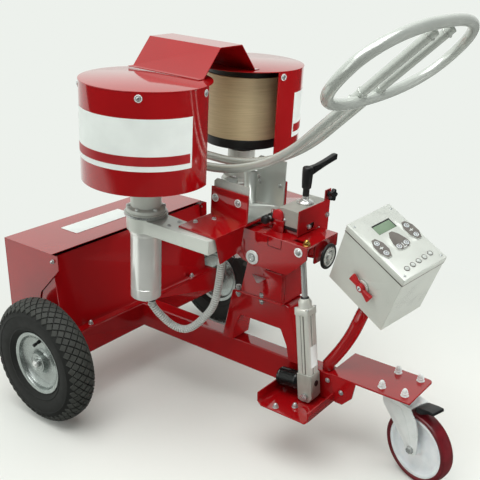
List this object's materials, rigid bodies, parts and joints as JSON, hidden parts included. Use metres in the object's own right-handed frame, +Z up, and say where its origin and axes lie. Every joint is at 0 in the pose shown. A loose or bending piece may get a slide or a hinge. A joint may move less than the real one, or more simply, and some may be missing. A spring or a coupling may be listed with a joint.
{
  "type": "soccer ball shooting machine",
  "caption": "Wheeled ball thrower: two upright drums under round covers shoot a ball fed down a tube guide, on a tilting and panning head with a lift actuator.",
  "frame": {"origin": "middle of the machine's plan, on the ground", "axes": "+Y the way the ball leaves, over the battery box; X along the wheel axle, +X to the right seen from behind; +Z up"},
  "size_m": [0.906, 1.3511, 1.197],
  "materials": {
    "red_paint": "glossy powder coat",
    "grey_paint": "light grey powder coat, low gloss",
    "zinc": "bright zinc plate",
    "steel": "polished steel",
    "polished_aluminium": "polished",
    "cast_aluminium": "satin, as extruded or milled",
    "tyre_rubber": "black, moulded tread",
    "black_plastic": "satin black",
    "tan_urethane": "matt cast urethane",
    "maroon_urethane": "satin cast urethane",
    "white_nylon": "white, satin",
    "red_plastic": "glossy red",
    "grey_conduit": "ribbed grey hose, satin",
    "battery_case": "satin black case"
  },
  "bodies": {
    "frame": {"base_frame": "red_paint", "axle": "zinc", "tower": "red_paint", "tilt_yoke": "red_paint", "actuator_tray": "red_paint", "actuator_foot_pin": "zinc", "castor_bracket": "red_paint", "castor_plate": "zinc", "control_post": "red_paint", "battery_tray": "red_paint", "battery_pack": "battery_case", "control_box": "grey_paint", "control_face": "grey_paint"},
    "battery_lid": {"battery_lid": "red_paint"},
    "left_wheel": {"tyre_left": "tyre_rubber", "rim_left": "zinc"},
    "right_wheel": {"tyre_right": "tyre_rubber", "rim_right": "zinc"},
    "castor_swivel": {"castor_fork": "zinc"},
    "castor_wheel": {"castor_core": "white_nylon", "castor_tread": "maroon_urethane"},
    "castor_brake": {"brake_pedal": "black_plastic"},
    "lift_actuator": {"actuator_body": "cast_aluminium", "actuator_tube": "cast_aluminium", "actuator_motor": "black_plastic"},
    "lift_rod": {"actuator_rod": "steel"},
    "tilt_head": {"tilt_box": "red_paint", "tilt_bolt": "zinc", "actuator_pin": "zinc", "pan_bearing": "steel", "clamp_block": "cast_aluminium", "clamp_plate": "red_paint"},
    "clamp_lever": {"clamp_lever": "black_plastic"},
    "star_knob": {"star_knob": "black_plastic"},
    "index_plunger": {"index_plunger": "black_plastic"},
    "crank_disc": {"crank_disc": "steel"},
    "pan_head": {"pan_plate": "red_paint", "rail_bracket": "grey_paint", "motor_arm_left": "grey_paint", "motor_arm_right": "grey_paint", "bearing_housing_left": "grey_paint", "bearing_housing_right": "grey_paint", "motor_left": "polished_aluminium", "motor_right": "polished_aluminium", "drum_cover_left": "red_paint", "drum_cover_right": "red_paint", "bridge_guard": "red_paint", "ball_guide": "grey_paint", "motor_conduit": "grey_conduit"},
    "left_drum": {"drum_core_left": "black_plastic", "drum_band_left": "tan_urethane"},
    "right_drum": {"drum_core_right": "black_plastic", "drum_band_right": "tan_urethane"},
    "isolator": {"isolator_handle": "red_plastic"},
    "button_left_a": {"button_left_a": "white_nylon"},
    "button_left_b": {"button_left_b": "white_nylon"},
    "button_middle_a": {"button_middle_a": "white_nylon"},
    "button_middle_b": {"button_middle_b": "white_nylon"},
    "button_right_a": {"button_right_a": "white_nylon"},
    "button_right_b": {"button_right_b": "white_nylon"}
  },
  "joints": [
    {"name": "battery_lid_hinge", "type": "hinge", "parent": "frame", "child": "battery_lid", "pos_m": [0, 0.4455, 0.473], "axis": [1, 0, 0], "range_deg": [0, 100]},
    {"name": "left_wheel_spin", "type": "hinge", "parent": "frame", "child": "left_wheel", "pos_m": [-0.408, 0.4245, 0.19], "axis": [1, 0, 0], "continuous": true},
    {"name": "right_wheel_spin", "type": "hinge", "parent": "frame", "child": "right_wheel", "pos_m": [0.408, 0.4245, 0.19], "axis": [1, 0, 0], "continuous": true},
    {"name": "castor_swivel", "type": "hinge", "parent": "frame", "child": "castor_swivel", "pos_m": [0.04, -0.5055, 0.225], "axis": [0, 0, 1], "continuous": true},
    {"name": "castor_wheel_spin", "type": "hinge", "parent": "castor_swivel", "child": "castor_wheel", "pos_m": [0.0196, -0.57663, 0.1], "axis": [0.9613, -0.2756, 0], "continuous": true},
    {"name": "castor_brake_press", "type": "hinge", "parent": "castor_swivel", "child": "castor_brake", "pos_m": [0.0196, -0.57663, 0.2152], "axis": [0.9613, -0.2756, 0], "range_deg": [0, 12]},
    {"name": "head_tilt", "type": "hinge", "parent": "frame", "child": "tilt_head", "pos_m": [0, -0.0885, 0.543], "axis": [1, 0, 0], "range_deg": [-3, 15]},
    {"name": "lift_actuator_pivot", "type": "hinge", "parent": "frame", "child": "lift_actuator", "pos_m": [-0.056, -0.2755, 0.178], "axis": [1, 0, 0], "range_deg": [-0.3, 0.9]},
    {"name": "lift_rod_slide", "type": "slide", "parent": "lift_actuator", "child": "lift_rod", "axis": [0, 0.0935, 0.9956], "range_m": [-0.041, 0.0085]},
    {"name": "head_pan", "type": "hinge", "parent": "tilt_head", "child": "pan_head", "pos_m": [0, -0.02031, 0.6367], "axis": [0, -0.0523, 0.9986], "range_deg": [-12, 12]},
    {"name": "left_drum_spin", "type": "hinge", "parent": "pan_head", "child": "left_drum", "pos_m": [-0.2097, 0.16823, 0.85687], "axis": [0, -0.0523, 0.9986], "continuous": true},
    {"name": "right_drum_spin", "type": "hinge", "parent": "pan_head", "child": "right_drum", "pos_m": [0.2097, 0.16823, 0.85687], "axis": [0, -0.0523, 0.9986], "continuous": true},
    {"name": "clamp_lever_turn", "type": "hinge", "parent": "tilt_head", "child": "clamp_lever", "pos_m": [0.046, -0.17254, 0.6848], "axis": [0, -0.0523, 0.9986], "range_deg": [-80, 12]},
    {"name": "star_knob_turn", "type": "hinge", "parent": "tilt_head", "child": "star_knob", "pos_m": [0.104, -0.20969, 0.70388], "axis": [0, 0.9986, 0.0523], "range_deg": [-180, 180]},
    {"name": "index_plunger_pull", "type": "slide", "parent": "tilt_head", "child": "index_plunger", "axis": [-1, 0, 0], "range_m": [0, 0.01], "stiffness_N_per_m": 900},
    {"name": "crank_disc_spin", "type": "hinge", "parent": "tilt_head", "child": "crank_disc", "pos_m": [0.016, -0.25984, 0.56406], "axis": [0, 0.9986, 0.0523], "continuous": true},
    {"name": "isolator_turn", "type": "hinge", "parent": "frame", "child": "isolator", "pos_m": [-0.03701, -0.40959, 0.53352], "axis": [0.9445, -0.2701, 0.1867], "range_deg": [0, 90]},
    {"name": "button_left_a_press", "type": "slide", "parent": "frame", "child": "button_left_a", "axis": [0.2836, 0.3845, -0.8785], "range_m": [0, 0.001], "stiffness_N_per_m": 2500},
    {"name": "button_left_b_press", "type": "slide", "parent": "frame", "child": "button_left_b", "axis": [0.2836, 0.3845, -0.8785], "range_m": [0, 0.001], "stiffness_N_per_m": 2500},
    {"name": "button_middle_a_press", "type": "slide", "parent": "frame", "child": "button_middle_a", "axis": [0.2836, 0.3845, -0.8785], "range_m": [0, 0.001], "stiffness_N_per_m": 2500},
    {"name": "button_middle_b_press", "type": "slide", "parent": "frame", "child": "button_middle_b", "axis": [0.2836, 0.3845, -0.8785], "range_m": [0, 0.001], "stiffness_N_per_m": 2500},
    {"name": "button_right_a_press", "type": "slide", "parent": "frame", "child": "button_right_a", "axis": [0.2836, 0.3845, -0.8785], "range_m": [0, 0.001], "stiffness_N_per_m": 2500},
    {"name": "button_right_b_press", "type": "slide", "parent": "frame", "child": "button_right_b", "axis": [0.2836, 0.3845, -0.8785], "range_m": [0, 0.001], "stiffness_N_per_m": 2500}
  ],
  "couplings": [
    {"joint": "lift_actuator_pivot", "follows": "head_tilt", "ratio": 0.0536},
    {"joint": "lift_rod_slide", "follows": "head_tilt", "m_per_rad": -0.1544}
  ]
}
